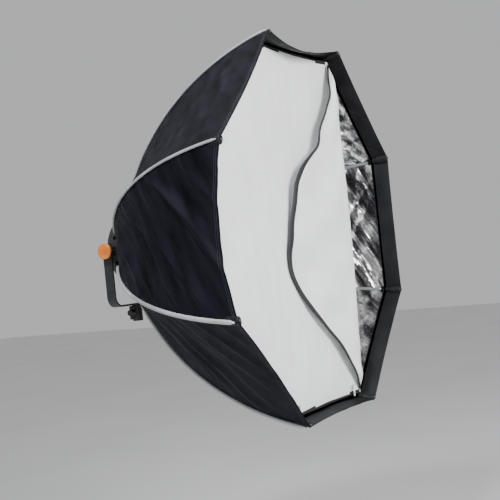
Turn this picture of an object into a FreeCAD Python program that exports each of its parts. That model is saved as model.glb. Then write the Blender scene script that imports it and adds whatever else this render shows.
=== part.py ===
"""Octagonal quick-folding studio softbox, about 107 cm across its corners.

Frame: millimetres, +Z up. The origin is the centre of the speedring, on the light axis and on
the tilt axis. The light leaves along -Y, the lamp head enters from +Y, and the tilt axis is X.
Rods and panels are numbered 1 to 8 clockwise as seen from the front, from the top right corner.
Each repeated piece is made once, pointing along +X, and linked to its eight places.
"""

import FreeCAD
import Part
import os
import Sketcher

OUT = "parts"
SIDES = 8
STEP_DEG = 360.0 / SIDES
FIRST_DEG = 67.5
OPEN_SECTORS = (1, 2, 3, 4)
RIBS = 18
LUGS = 3
LEAST_CUT = 1.0  # volume that a pocket has to take away
OVERSIZE = 1.2  # how much larger a cutting tool is than what it cuts
UP = FreeCAD.Vector(0, 0, 1)
AXIS = FreeCAD.Vector(0, 1, 0)
SIDEWAYS = FreeCAD.Vector(1, 0, 0)

DIMENSIONS = {
    # rods and cloth
    "corner_radius": 533,  # light axis to a rod's tip
    "rim_front": 642,  # tilt axis to the front rim
    "rod_bulge": 85,  # how far a bent rod stands off its own chord
    "rod_radius": 3,
    "tip_radius": 4.2,
    "rod_start": 12,  # hinge pin to the rod's inner end
    "cloth": 2.4,
    "cloth_offset": 5.2,  # rod's centreline to the cloth's inner face
    "seam_turn": 0.12,  # degrees from a panel's edge to the middle of its gore
    "cloth_start": 109,  # light axis to the cloth's inner end
    "diffuser_front": 598,  # tilt axis to the middle of the diffuser's cloth
    "diffuser_radius": 515,
    "diffuser_cloth": 2,
    "sector_set": 1,  # light axis to the point of a diffuser sector
    "fold_line": 196,  # light axis to the line that the open flap folds on
    "flap_stand_off": 3.5,
    "flap_lean": 6,  # degrees between the open flap and the diffuser
    # speedring
    "hinge_radius": 80,
    "hinge_front": 12,
    "ring_outer": 98,
    "ring_bore": 62,
    "ring_front": 24,
    "ring_back": 12,
    "slot_width": 12,
    "slot_floor": 70,
    "slot_back": 2,
    "plate_thick": 3,
    "cover_thick": 4,
    "pin_radius": 2.5,
    "pin_length": 30,
    "pin_play": 0.05,
    "knuckle_radius": 8,
    "knuckle_width": 11,
    "knuckle_arm": 4.8,
    "knuckle_reach": 38,
    "screw_radius": 2,
    "screw_head": 3.6,
    "screw_length": 12,
    "screw_circle": 90,
    # latches
    "latch_circle": 87,
    "latch_radius": 5.5,
    "latch_flange": 7,
    "latch_play": 0.3,
    "latch_floor": 2,
    "latch_rise": 6,
    # lamp insert
    "insert_bore": 49,
    "insert_sleeve": 10,
    "insert_flange": 73,
    "insert_barrel": 55,
    "insert_back": 36,
    "lug_radius": 61,
    "lug_thick": 5,
    "lug_width": 34,
    # yoke, knobs and stand socket
    "trunnion_half": 11,
    "trunnion_face": 112,
    "pivot_radius": 5,
    "pivot_play": 0.3,
    "yoke_inner": 113,
    "yoke_thick": 5,
    "yoke_front": 10,
    "yoke_back": 20,
    "yoke_drop": 160,
    "yoke_corner": 26,
    "washer_radius": 12,
    "knob_radius": 23,
    "knob_core": 20,
    "knob_grip": 13,  # length of the ribbed part
    "knob_cap": 5,
    "knob_bevel": 2.5,
    "knob_rib": 1.8,
    "socket_radius": 15,
    "socket_height": 48,
    "spigot_radius": 8.1,
    "spigot_depth": 40,
    "clamp_drop": 22,
    "clamp_screw": 4,
    "clamp_reach": 32,
    "clamp_hub": 9,
    "clamp_wing": 40,
    # zips
    "slider_length": 16,
    "slider_width": 9,
    "slider_thick": 5,
    "slider_set": 0.6,
    "slider_left": 182,
    "slider_right": 150,
    "slider_edge": 452,
    "pull_length": 26,
    "pull_width": 6,
    "pull_thick": 1.6,
    "pull_wire": 1.2,
    "pull_eye": 2.2,
}

doc = FreeCAD.newDocument("softbox")
dims = doc.addObject("Spreadsheet::Sheet", "dims")
for row, (alias, value) in enumerate(DIMENSIONS.items(), start=1):
    dims.set(f"A{row}", alias)
    dims.set(f"B{row}", str(value))
    dims.setAlias(f"B{row}", alias)
doc.recompute()

nodes = []


def worth(expression):
    """The value of an expression on the sheet, in millimetres or degrees."""
    found = dims.evalExpression(expression)
    return float(getattr(found, "Value", found))


def vec(x, y, z):
    return FreeCAD.Vector(x, y, z)


def rod_angle(k):
    """Direction of rod k around the light axis, in degrees from +X towards +Z."""
    return FIRST_DEG - STEP_DEG * (k - 1)


def turned(degrees):
    """Placement that turns +X to an angle around the light axis."""
    return FreeCAD.Placement(vec(0, 0, 0), FreeCAD.Rotation(AXIS, -degrees))


def bind(thing, **expressions):
    for name, text in expressions.items():
        thing.setExpression(name, text)
    return thing


def at(thing, x="0", y="0", z="0"):
    """Binds an object's place to the sheet."""
    for letter, text in zip("xyz", (x, y, z)):
        thing.setExpression(f".Placement.Base.{letter}", text)
    return thing


def keep(thing, label):
    """Registers an object as a sub-part of the softbox."""
    thing.Label = label
    nodes.append(thing)
    return thing


def box(name, x, y, z):
    """A box between two expressions along each axis."""
    made = doc.addObject("Part::Box", name)
    at(made, x[0], y[0], z[0])
    sizes = [f"({end}) - ({start})" for start, end in (x, y, z)]
    return bind(made, **dict(zip(("Length", "Width", "Height"), sizes)))


def cylinder(name, direction, start, radius, height):
    """A round bar from a point of three expressions along a direction."""
    made = doc.addObject("Part::Cylinder", name)
    made.Placement.Rotation = FreeCAD.Rotation(UP, direction)
    at(made, *start)
    return bind(made, Radius=radius, Height=height)


def fuse(name, *shapes):
    made = doc.addObject("Part::MultiFuse", name)
    made.Shapes = list(shapes)
    return made


def cut(name, base, *tools):
    """The base without the tools."""
    made = doc.addObject("Part::Cut", name)
    made.Base = base
    made.Tool = tools[0] if len(tools) == 1 else fuse(f"{name}_tools", *tools)
    return made


def group(name, *shapes):
    """Separate solids that share one node."""
    made = doc.addObject("Part::Compound", name)
    made.Links = list(shapes)
    return made


def linked(name, master, placement):
    """One more of a piece, at another place."""
    made = doc.addObject("App::Link", name)
    made.LinkedObject = master
    made.LinkTransform = True
    made.Placement = placement
    return made


def body(name):
    return doc.addObject("PartDesign::Body", name)


def origin_feature(owner, role):
    return [f for f in owner.Origin.OriginFeatures if f.Role == role][0]


def sketch_on(owner, name, plane):
    made = owner.newObject("Sketcher::SketchObject", name)
    made.AttachmentSupport = [(origin_feature(owner, plane), "")]
    made.MapMode = "FlatFace"
    return made


def fix_point(sk, edge, end, x, y):
    """Sets a point's two coordinates in the sketch to expressions."""
    for kind, text in (("DistanceX", x), ("DistanceY", y)):
        index = sk.addConstraint(Sketcher.Constraint(kind, -1, 1, edge, end, worth(text)))
        sk.setExpression(f"Constraints[{index}]", text)


def outline(sk, corners, arcs=()):
    """A closed outline through corners of two expressions.

    arcs maps an edge's number to the expressions of a point that it bends through.
    """
    arcs = dict(arcs)
    ends = [vec(worth(x), worth(y), 0) for x, y in corners]
    edges = []
    for i, start in enumerate(ends):
        end = ends[(i + 1) % len(ends)]
        if i in arcs:
            middle = vec(worth(arcs[i][0]), worth(arcs[i][1]), 0)
            shape = Part.Arc(start, middle, end)
        else:
            shape = Part.LineSegment(start, end)
        edges.append(sk.addGeometry(shape, False))
    firsts = [1 if (sk.getPoint(e, 1) - p).Length < 1e-6 else 2 for e, p in zip(edges, ends)]
    for i, edge in enumerate(edges):
        following = (i + 1) % len(edges)
        joint = (edge, 3 - firsts[i], edges[following], firsts[following])
        sk.addConstraint(Sketcher.Constraint("Coincident", *joint))
    for edge, first, (x, y) in zip(edges, firsts, corners):
        fix_point(sk, edge, first, x, y)
    for i, (x, y) in arcs.items():
        marker = sk.addGeometry(Part.Point(vec(worth(x), worth(y), 0)), True)
        fix_point(sk, marker, 1, x, y)
        sk.addConstraint(Sketcher.Constraint("PointOnObject", marker, 1, edges[i]))


def ring_outline(sk, inner, outer, front, back):
    """A rectangle between two radii and two places along the light axis."""
    outline(sk, [(inner, front), (outer, front), (outer, back), (inner, back)])


def circle(sk, x, y, radius):
    edge = sk.addGeometry(Part.Circle(vec(worth(x), worth(y), 0), UP, worth(radius)), False)
    fix_point(sk, edge, 3, x, y)
    index = sk.addConstraint(Sketcher.Constraint("Radius", edge, worth(radius)))
    sk.setExpression(f"Constraints[{index}]", radius)


def revolved(owner, name, inner, outer, front, back):
    """A plain ring about the light axis."""
    sk = sketch_on(owner, f"{name}_section", "XY_Plane")
    ring_outline(sk, inner, outer, front, back)
    made = owner.newObject("PartDesign::Revolution", name)
    made.Profile = sk
    made.ReferenceAxis = (origin_feature(owner, "Y_Axis"), [""])
    made.Angle = 360
    doc.recompute()
    return made


def pocket(owner, name, sk, length, both=False, reverse=False):
    """A pocket, or a stop where its direction misses the solid."""
    before = owner.Tip.Shape.Volume
    made = owner.newObject("PartDesign::Pocket", name)
    made.Profile = sk
    made.Midplane = both
    made.Reversed = reverse
    bind(made, Length=length)
    doc.recompute()
    if not made.Shape.Volume < before - LEAST_CUT:
        raise ValueError(f"{name} cuts nothing")
    return made


def repeated(owner, name, features, count=SIDES):
    """Repeats features evenly around the light axis."""
    made = owner.newObject("PartDesign::PolarPattern", name)
    made.Originals = features
    made.Axis = (origin_feature(owner, "Y_Axis"), [""])
    made.Angle = 360
    made.Occurrences = count
    owner.Tip = made
    doc.recompute()
    return made


# ---------------------------------------------------------------- shape of a bent rod

# A rod is an arc of a circle from its hinge pin to its tip, in the plane through the light axis.
SIDE = "(dims.corner_radius - dims.hinge_radius)"
AHEAD = "(dims.rim_front - dims.hinge_front)"
CHORD = f"sqrt({SIDE}^2 + {AHEAD}^2)"
BOW = f"({CHORD}^2 / 8 / dims.rod_bulge + dims.rod_bulge / 2)"
TIP_TURN = f"(atan2({SIDE}; {AHEAD}) - asin({CHORD} / 2 / {BOW}))"
PIN_TURN = f"(atan2({SIDE}; {AHEAD}) + asin({CHORD} / 2 / {BOW}))"
CENTRE_SIDE = f"(dims.corner_radius - {BOW} * cos({TIP_TURN}))"
CENTRE_AHEAD = f"(-dims.rim_front - {BOW} * sin({TIP_TURN}))"
GORE_COS = f"cos({STEP_DEG / 2})"
GORE_SIN = f"sin({STEP_DEG / 2})"


def bent_bar(name, radius, from_turn, to_turn):
    """A bar along the bow between two angles, as a piece of a torus."""
    made = doc.addObject("Part::Torus", name)
    at(made, CENTRE_SIDE, CENTRE_AHEAD)
    made.setExpression(".Placement.Rotation.Angle", from_turn)
    return bind(made, Radius1=BOW, Radius2=radius, Angle3=f"{to_turn} - {from_turn}")


def along_bow(distance):
    """The angle on the bow at a distance from the hinge pin."""
    return f"({PIN_TURN} - {distance} / {BOW} * 180 deg / pi)"


def gore_points(offset):
    """Start, middle and end of a gore's profile, at an offset outside the bow."""
    reach = f"({BOW} + {offset})"
    start = f"acos((dims.cloth_start - {CENTRE_SIDE}) / {reach})"
    end = f"asin((-dims.rim_front - {CENTRE_AHEAD}) / {reach})"
    turns = (start, f"(({start} + {end}) / 2)", end)
    return [
        (f"({CENTRE_SIDE} + {reach} * cos({turn})) * {GORE_COS}", f"{CENTRE_AHEAD} + {reach} * sin({turn})")
        for turn in turns
    ]


# ---------------------------------------------------------------- rods and knuckles

PIN = ("dims.hinge_radius", "-dims.hinge_front")

rod_bar = bent_bar("rod_bar", "dims.rod_radius", TIP_TURN, along_bow("dims.rod_start"))
rod_tip = doc.addObject("Part::Sphere", "rod_tip")
bind(at(rod_tip, "dims.corner_radius", "-dims.rim_front"), Radius="dims.tip_radius")
rod = fuse("rod", rod_bar, rod_tip)

arm = bent_bar("arm", "dims.knuckle_arm", along_bow("dims.knuckle_reach"), PIN_TURN)
barrel = cylinder(
    "barrel", UP, (*PIN, "-dims.knuckle_width / 2"), "dims.knuckle_radius", "dims.knuckle_width"
)
pin_hole = cylinder(
    "pin_hole", UP, (*PIN, "-dims.knuckle_width"), "dims.pin_radius + dims.pin_play", "2 * dims.knuckle_width"
)
knuckle = cut("knuckle", fuse("knuckle_solid", arm, barrel), pin_hole, rod_bar)

# ---------------------------------------------------------------- shell cloth

# A gore is cloth stretched straight between two rods, so it bends one way only. A panel is the
# two half gores that meet at a rod, and it reaches from the speedring to the front rim.
gore = body("gore")
profile = sketch_on(gore, "gore_profile", "XY_Plane")
inner = gore_points("dims.cloth_offset")
outer = gore_points("dims.cloth_offset + dims.cloth")
outline(
    profile,
    [inner[0], inner[2], outer[2], outer[0]],
    {0: inner[1], 2: outer[1]},
)
strip = gore.newObject("PartDesign::Pad", "gore_strip")
strip.Profile = profile
strip.Midplane = True
bind(strip, Length="dims.corner_radius")
doc.recompute()

wedge = cylinder(
    "wedge", -AXIS, ("0", "0", "0"), f"{OVERSIZE} * dims.corner_radius", f"{OVERSIZE} * dims.rim_front"
)
bind(wedge, Angle=f"{STEP_DEG / 2} - dims.seam_turn")
side_gore = linked("side_gore", gore, turned(STEP_DEG / 2))
half_gore = doc.addObject("Part::Common", "half_gore")
half_gore.Base, half_gore.Tool = side_gore, wedge
other_half = doc.addObject("Part::Mirroring", "other_half")
other_half.Source = half_gore
other_half.Normal = UP
panel = fuse("panel", half_gore, other_half)

# ---------------------------------------------------------------- diffuser


def flat_cloth(name, corners, front):
    """A flat sheet across the light axis, whose middle lies a distance in front."""
    owner = body(name)
    sk = sketch_on(owner, f"{name}_outline", "XZ_Plane")
    sk.setExpression("AttachmentOffset.Base.z", f"{front} - dims.diffuser_cloth / 2")
    outline(sk, corners)
    sheet = owner.newObject("PartDesign::Pad", f"{name}_sheet")
    sheet.Profile = sk
    bind(sheet, Length="dims.diffuser_cloth")
    doc.recompute()
    return owner


EDGE = f"dims.diffuser_radius * {GORE_COS}"
sector = flat_cloth(
    "sector",
    [
        ("dims.sector_set", "0"),
        (f"{EDGE} * {GORE_COS}", f"-({EDGE} * {GORE_COS} - dims.sector_set) * tan({STEP_DEG / 2})"),
        ("dims.diffuser_radius", "0"),
        (f"{EDGE} * {GORE_COS}", f"({EDGE} * {GORE_COS} - dims.sector_set) * tan({STEP_DEG / 2})"),
    ],
    "dims.diffuser_front",
)
unzipped_side = box(
    "unzipped_side",
    ("dims.fold_line", "2 * dims.corner_radius"),
    ("-dims.rim_front", "0"),
    ("-dims.corner_radius", "dims.corner_radius"),
)

# The open flap lies over the front of the diffuser, turned about its upright fold line.
FOLD_HALF = f"({EDGE} - dims.sector_set)"
FLAP_HALF = f"(dims.diffuser_radius * {GORE_SIN})"
FLAP_REACH = f"({EDGE} - dims.fold_line)"
flap = flat_cloth(
    "flap",
    [
        ("0", f"-{FOLD_HALF}"),
        ("0", FOLD_HALF),
        (f"-{FLAP_REACH}", FLAP_HALF),
        (f"-{FLAP_REACH}", f"-{FLAP_HALF}"),
    ],
    "dims.flap_stand_off / 2",
)
at(flap, "dims.fold_line", "-dims.diffuser_front - dims.flap_stand_off / 2")
flap.setExpression(".Placement.Rotation.Angle", "dims.flap_lean")

# ---------------------------------------------------------------- speedring

ring = body("ring")
revolved(ring, "ring_solid", "dims.ring_bore", "dims.ring_outer", "-dims.ring_front", "dims.ring_back")


def clevis_slot(owner, name):
    """An open slot that a knuckle swings in."""
    sk = sketch_on(owner, f"{name}_section", "XY_Plane")
    ring_outline(
        sk,
        "dims.slot_floor",
        "dims.ring_outer + dims.slot_width",
        "-dims.ring_front - dims.slot_width",
        "-dims.slot_back",
    )
    return pocket(owner, name, sk, "dims.slot_width", both=True)


def rear_hole(owner, name, x, y, radius, back, depth):
    """A round hole into the rear face."""
    sk = sketch_on(owner, f"{name}_outline", "XZ_Plane")
    sk.setExpression("AttachmentOffset.Base.z", f"-({back})")
    circle(sk, x, y, radius)
    return pocket(owner, name, sk, depth, reverse=True)


def front_hole(owner, name, x, y, radius, front, depth):
    """A round hole into the front face."""
    sk = sketch_on(owner, f"{name}_outline", "XZ_Plane")
    sk.setExpression("AttachmentOffset.Base.z", front)
    circle(sk, x, y, radius)
    return pocket(owner, name, sk, depth)


SCREW_PLACE = (f"dims.screw_circle * {GORE_COS}", f"dims.screw_circle * {GORE_SIN}")
COVER_BACK = "dims.ring_back + dims.cover_thick"
PLATE_FRONT = "dims.ring_front + dims.plate_thick"

ring_slot = clevis_slot(ring, "ring_slot")
pin_sketch = sketch_on(ring, "ring_pin_outline", "XY_Plane")
circle(pin_sketch, *PIN, "dims.pin_radius")
ring_pin = pocket(ring, "ring_pin", pin_sketch, "dims.pin_length", both=True)
latch_pocket = rear_hole(
    ring,
    "latch_pocket",
    "dims.latch_circle",
    "0",
    "dims.latch_flange + dims.latch_play",
    "dims.ring_back",
    "dims.ring_back - dims.latch_floor",
)
ring_screw = rear_hole(
    ring, "ring_screw", *SCREW_PLACE, "dims.screw_radius", "dims.ring_back", "dims.screw_length"
)
plate_screw_hole = front_hole(
    ring, "plate_screw_hole", *SCREW_PLACE, "dims.screw_radius", "dims.ring_front", "dims.screw_length / 2"
)
repeated(ring, "ring_repeats", [ring_slot, ring_pin, latch_pocket, ring_screw, plate_screw_hole])

plate = body("plate")
revolved(plate, "plate_solid", "dims.ring_bore", "dims.ring_outer", f"-({PLATE_FRONT})", "-dims.ring_front")
plate_slot = clevis_slot(plate, "plate_slot")
plate_hole = front_hole(
    plate, "plate_hole", *SCREW_PLACE, "dims.screw_radius", PLATE_FRONT, "dims.plate_thick"
)
repeated(plate, "plate_repeats", [plate_slot, plate_hole])

cover = body("cover")
revolved(cover, "cover_solid", "dims.ring_bore", "dims.ring_outer", "dims.ring_back", COVER_BACK)
cover_latch = rear_hole(
    cover,
    "cover_latch",
    "dims.latch_circle",
    "0",
    "dims.latch_radius + dims.latch_play",
    COVER_BACK,
    "dims.cover_thick",
)
cover_screw = rear_hole(
    cover, "cover_screw", *SCREW_PLACE, "dims.screw_radius", COVER_BACK, "dims.cover_thick"
)
repeated(cover, "cover_repeats", [cover_latch, cover_screw])


def every_rod(name, master):
    """A group with one of a piece at every rod."""
    pieces = [linked(f"{name}_{k}", master, turned(rod_angle(k))) for k in range(1, SIDES + 1)]
    return group(name, *pieces)


def screw(name, direction, back, length):
    """A round-headed screw whose head stands on a face."""
    place = (SCREW_PLACE[0], back, SCREW_PLACE[1])
    shank = cylinder(f"{name}_shank", -direction, place, "dims.screw_radius", length)
    head = cylinder(f"{name}_head", direction, place, "dims.screw_head", "dims.screw_radius")
    return fuse(name, shank, head)


hinge_pin = cylinder("hinge_pin", UP, (*PIN, "-dims.pin_length / 2"), "dims.pin_radius", "dims.pin_length")
hinge_pins = every_rod("hinge_pins_group", hinge_pin)
cover_screws = every_rod("cover_screws_group", screw("long_screw", AXIS, COVER_BACK, "dims.screw_length"))
plate_screws = every_rod(
    "plate_screws_group", screw("short_screw", -AXIS, f"-({PLATE_FRONT})", "dims.screw_length / 2")
)

FLANGE_FRONT = "dims.ring_back - dims.latch_play - dims.latch_floor"
latch = fuse(
    "latch",
    cylinder(
        "latch_stem",
        AXIS,
        ("dims.latch_circle", FLANGE_FRONT, "0"),
        "dims.latch_radius",
        f"{COVER_BACK} + dims.latch_rise - ({FLANGE_FRONT})",
    ),
    cylinder(
        "latch_disc", AXIS, ("dims.latch_circle", FLANGE_FRONT, "0"), "dims.latch_flange", "dims.latch_floor"
    ),
)

# ---------------------------------------------------------------- lamp insert

insert = body("insert")
insert_sketch = sketch_on(insert, "insert_section", "XY_Plane")
SLEEVE = "dims.ring_bore - dims.latch_play"
FLANGE_BACK = f"{COVER_BACK} + dims.cover_thick"
outline(
    insert_sketch,
    [
        ("dims.insert_bore", "-dims.insert_sleeve"),
        (SLEEVE, "-dims.insert_sleeve"),
        (SLEEVE, COVER_BACK),
        ("dims.insert_flange", COVER_BACK),
        ("dims.insert_flange", FLANGE_BACK),
        ("dims.insert_barrel", FLANGE_BACK),
        ("dims.insert_barrel", "dims.insert_back"),
        ("dims.insert_bore", "dims.insert_back"),
    ],
)
turned_insert = insert.newObject("PartDesign::Revolution", "turned_insert")
turned_insert.Profile = insert_sketch
turned_insert.ReferenceAxis = (origin_feature(insert, "Y_Axis"), [""])
doc.recompute()
lug = box(
    "lug",
    ("dims.insert_barrel - dims.lug_thick / 2", "dims.lug_radius"),
    ("dims.insert_back - dims.lug_thick", "dims.insert_back"),
    ("-dims.lug_width / 2", "dims.lug_width / 2"),
)
lugs = [linked(f"lug_{i}", lug, turned(360 * i / LUGS)) for i in range(LUGS)]
bayonet = fuse("bayonet", insert, *lugs)

# ---------------------------------------------------------------- trunnions and yoke

saddle = cut(
    "saddle",
    box(
        "saddle_block",
        ("dims.ring_bore", "dims.trunnion_face"),
        ("-dims.trunnion_half", "dims.trunnion_half"),
        ("-dims.trunnion_half", "dims.trunnion_half"),
    ),
    cylinder("saddle_bed", AXIS, ("0", "-dims.ring_front", "0"), "dims.ring_outer", "2 * dims.ring_front"),
    cylinder(
        "saddle_thread",
        SIDEWAYS,
        ("dims.ring_outer", "0", "0"),
        "dims.clamp_screw + dims.pin_play",
        "dims.ring_outer",
    ),
)
far_bolt = cylinder(
    "far_bolt",
    SIDEWAYS,
    ("dims.ring_outer", "0", "0"),
    "dims.clamp_screw + dims.pin_play",
    "dims.yoke_inner + dims.yoke_thick + dims.washer_radius / 2 - dims.ring_outer",
)
far_sleeve = cylinder(
    "far_sleeve",
    SIDEWAYS,
    ("dims.trunnion_face", "0", "0"),
    "dims.pivot_radius",
    "dims.yoke_inner + dims.yoke_thick + dims.pivot_play - dims.trunnion_face",
)
far_head = cylinder(
    "far_head",
    SIDEWAYS,
    ("dims.yoke_inner + dims.yoke_thick + dims.pivot_play", "0", "0"),
    "2 * dims.pivot_radius",
    "dims.pivot_radius",
)
far_trunnion = fuse("far_trunnion", saddle, far_bolt, far_sleeve, far_head)
near_trunnion = linked("near_trunnion", saddle, turned(180))
trunnions = group("trunnions", far_trunnion, near_trunnion)

washer = cut(
    "washer",
    cylinder(
        "washer_disc", SIDEWAYS, ("dims.trunnion_face", "0", "0"), "dims.washer_radius", "2 * dims.pivot_play"
    ),
    cylinder(
        "washer_hole", SIDEWAYS, ("dims.ring_outer", "0", "0"), "dims.pivot_radius", "dims.ring_outer"
    ),
)
washers = group("washers", washer, linked("near_washer", washer, turned(180)))

BEND_SIDE = "(dims.yoke_inner - dims.yoke_corner)"
BEND_DROP = "(dims.yoke_drop - dims.yoke_corner)"
INNER_BEND = "dims.yoke_corner * cos(45)"
OUTER_BEND = "(dims.yoke_corner + dims.yoke_thick) * cos(45)"
OUTSIDE = "dims.yoke_inner + dims.yoke_thick"
yoke = body("yoke")
yoke_sketch = sketch_on(yoke, "yoke_section", "XZ_Plane")
yoke_sketch.setExpression("AttachmentOffset.Base.z", "-dims.yoke_back")
outline(
    yoke_sketch,
    [
        (f"-({OUTSIDE})", "dims.yoke_back"),
        (f"-({OUTSIDE})", f"-{BEND_DROP}"),
        (f"-{BEND_SIDE}", "-dims.yoke_drop - dims.yoke_thick"),
        (BEND_SIDE, "-dims.yoke_drop - dims.yoke_thick"),
        (OUTSIDE, f"-{BEND_DROP}"),
        (OUTSIDE, "dims.yoke_back"),
        ("dims.yoke_inner", "dims.yoke_back"),
        ("dims.yoke_inner", f"-{BEND_DROP}"),
        (BEND_SIDE, "-dims.yoke_drop"),
        (f"-{BEND_SIDE}", "-dims.yoke_drop"),
        ("-dims.yoke_inner", f"-{BEND_DROP}"),
        ("-dims.yoke_inner", "dims.yoke_back"),
    ],
    {
        1: (f"-{BEND_SIDE} - {OUTER_BEND}", f"-{BEND_DROP} - {OUTER_BEND}"),
        3: (f"{BEND_SIDE} + {OUTER_BEND}", f"-{BEND_DROP} - {OUTER_BEND}"),
        7: (f"{BEND_SIDE} + {INNER_BEND}", f"-{BEND_DROP} - {INNER_BEND}"),
        9: (f"-{BEND_SIDE} - {INNER_BEND}", f"-{BEND_DROP} - {INNER_BEND}"),
    },
)
strap = yoke.newObject("PartDesign::Pad", "yoke_strap")
strap.Profile = yoke_sketch
bind(strap, Length="dims.yoke_front + dims.yoke_back")
doc.recompute()
pivot_sketch = sketch_on(yoke, "pivot_outline", "YZ_Plane")
circle(pivot_sketch, "0", "0", "dims.pivot_radius + dims.pivot_play")
pocket(yoke, "pivot_holes", pivot_sketch, f"3 * ({OUTSIDE})", both=True)

# ---------------------------------------------------------------- stand socket

SOCKET_TOP = "-dims.yoke_drop - dims.yoke_thick"
SOCKET_BASE = f"({SOCKET_TOP} - dims.socket_height)"
SOCKET_DEPTH = "(dims.yoke_back - dims.yoke_front) / 2"
CLAMP_LEVEL = f"({SOCKET_TOP} - dims.clamp_drop)"
socket = cut(
    "socket",
    cylinder(
        "socket_barrel", UP, ("0", SOCKET_DEPTH, SOCKET_BASE), "dims.socket_radius", "dims.socket_height"
    ),
    cylinder(
        "spigot_bore", UP, ("0", SOCKET_DEPTH, SOCKET_BASE), "dims.spigot_radius", "dims.spigot_depth"
    ),
    cylinder(
        "clamp_thread",
        -SIDEWAYS,
        ("0", SOCKET_DEPTH, CLAMP_LEVEL),
        "dims.clamp_screw + dims.pin_play",
        "2 * dims.socket_radius",
    ),
)

# ---------------------------------------------------------------- knobs

CLAMP_START = "-dims.spigot_radius - dims.latch_play"
clamp = fuse(
    "clamp",
    cylinder(
        "clamp_bolt",
        -SIDEWAYS,
        (CLAMP_START, SOCKET_DEPTH, CLAMP_LEVEL),
        "dims.clamp_screw",
        "dims.clamp_reach - dims.spigot_radius",
    ),
    cylinder(
        "clamp_boss",
        -SIDEWAYS,
        ("-dims.socket_radius - dims.pivot_radius", SOCKET_DEPTH, CLAMP_LEVEL),
        "dims.clamp_hub",
        "2 * dims.clamp_hub",
    ),
    box(
        "clamp_bar",
        ("-dims.socket_radius - 2 * dims.clamp_hub", "-dims.socket_radius - dims.clamp_hub"),
        (f"{SOCKET_DEPTH} - dims.clamp_screw", f"{SOCKET_DEPTH} + dims.clamp_screw"),
        (f"{CLAMP_LEVEL} - dims.clamp_wing / 2", f"{CLAMP_LEVEL} + dims.clamp_wing / 2"),
    ),
)

KNOB_FACE = f"(-({OUTSIDE}) - dims.pivot_play)"
GRIP_END = f"({KNOB_FACE} - dims.knob_grip)"
knob_core = cylinder("knob_core", -SIDEWAYS, (KNOB_FACE, "0", "0"), "dims.knob_core", "dims.knob_grip")
knob_bolt = cylinder(
    "knob_bolt",
    -SIDEWAYS,
    ("-dims.ring_outer - dims.latch_play", "0", "0"),
    "dims.clamp_screw",
    f"-{KNOB_FACE} - dims.ring_outer",
)
ribs = []
for i in range(RIBS):
    turn = 360 * i / RIBS
    place = (KNOB_FACE, f"dims.knob_core * cos({turn})", f"dims.knob_core * sin({turn})")
    ribs.append(cylinder(f"rib_{i}", -SIDEWAYS, place, "dims.knob_rib", "dims.knob_grip"))
knob = fuse("knob", knob_core, knob_bolt, *ribs)

cap_edge = doc.addObject("Part::Cone", "cap_edge")
cap_edge.Placement.Rotation = FreeCAD.Rotation(UP, -SIDEWAYS)
at(cap_edge, f"{GRIP_END} - dims.knob_cap", "0", "0")
bind(
    cap_edge,
    Radius1="dims.knob_radius",
    Radius2="dims.knob_radius - dims.knob_bevel",
    Height="dims.knob_bevel",
)
cap_disc = cylinder("cap_disc", -SIDEWAYS, (GRIP_END, "0", "0"), "dims.knob_radius", "dims.knob_cap")
knob_cap = fuse("knob_cap", cap_disc, cap_edge)

# ---------------------------------------------------------------- zip sliders

SLIDER_BACK = "(-dims.diffuser_front - dims.diffuser_cloth / 2 - dims.slider_set)"
SLIDER_FACE = f"({SLIDER_BACK} - dims.slider_thick)"
BRIDGE_AHEAD = f"({SLIDER_FACE} - 2 * dims.pull_wire)"
BRIDGE_HALF = "(dims.pull_width / 2 + dims.pull_wire)"


def slider(name, middle):
    """A zip slider with a bridge for its pull, on the lower edge of the diffuser."""
    level = "-dims.slider_edge"
    block = box(
        f"{name}_block",
        (f"{middle} - dims.slider_length / 2", f"{middle} + dims.slider_length / 2"),
        (SLIDER_FACE, SLIDER_BACK),
        (f"{level} - dims.slider_width / 2", f"{level} + dims.slider_width / 2"),
    )
    bridge = cylinder(
        f"{name}_bridge",
        SIDEWAYS,
        (f"{middle} - {BRIDGE_HALF}", BRIDGE_AHEAD, level),
        "dims.pull_wire",
        f"2 * {BRIDGE_HALF}",
    )
    posts = [
        box(
            f"{name}_post_{i}",
            (f"{middle} + {a}", f"{middle} + {b}"),
            (f"{BRIDGE_AHEAD} - dims.pull_wire", SLIDER_FACE),
            (f"{level} - dims.pull_wire", f"{level} + dims.pull_wire"),
        )
        for i, (a, b) in enumerate(
            (
                ("dims.pull_width / 2 + dims.slider_set / 2", BRIDGE_HALF),
                (f"-{BRIDGE_HALF}", "-dims.pull_width / 2 - dims.slider_set / 2"),
            )
        )
    ]
    return fuse(name, block, bridge, *posts)


def pull(name, middle):
    """A flat pull that hangs from a slider's bridge."""
    level = "-dims.slider_edge"
    start = f"{middle} - dims.pull_width / 2"
    eye = cylinder(
        f"{name}_eye", SIDEWAYS, (start, BRIDGE_AHEAD, level), "dims.pull_eye", "dims.pull_width"
    )
    strip = box(
        f"{name}_strip",
        (start, f"{middle} + dims.pull_width / 2"),
        (f"{BRIDGE_AHEAD} - dims.pull_thick / 2", f"{BRIDGE_AHEAD} + dims.pull_thick / 2"),
        (f"{level} - dims.pull_length", level),
    )
    hole = cylinder(
        f"{name}_hole",
        SIDEWAYS,
        (f"{start} - dims.pull_width", BRIDGE_AHEAD, level),
        "dims.pull_wire + dims.pin_play",
        "3 * dims.pull_width",
    )
    return cut(name, fuse(f"{name}_solid", eye, strip), hole)


# ---------------------------------------------------------------- sub-parts

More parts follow.
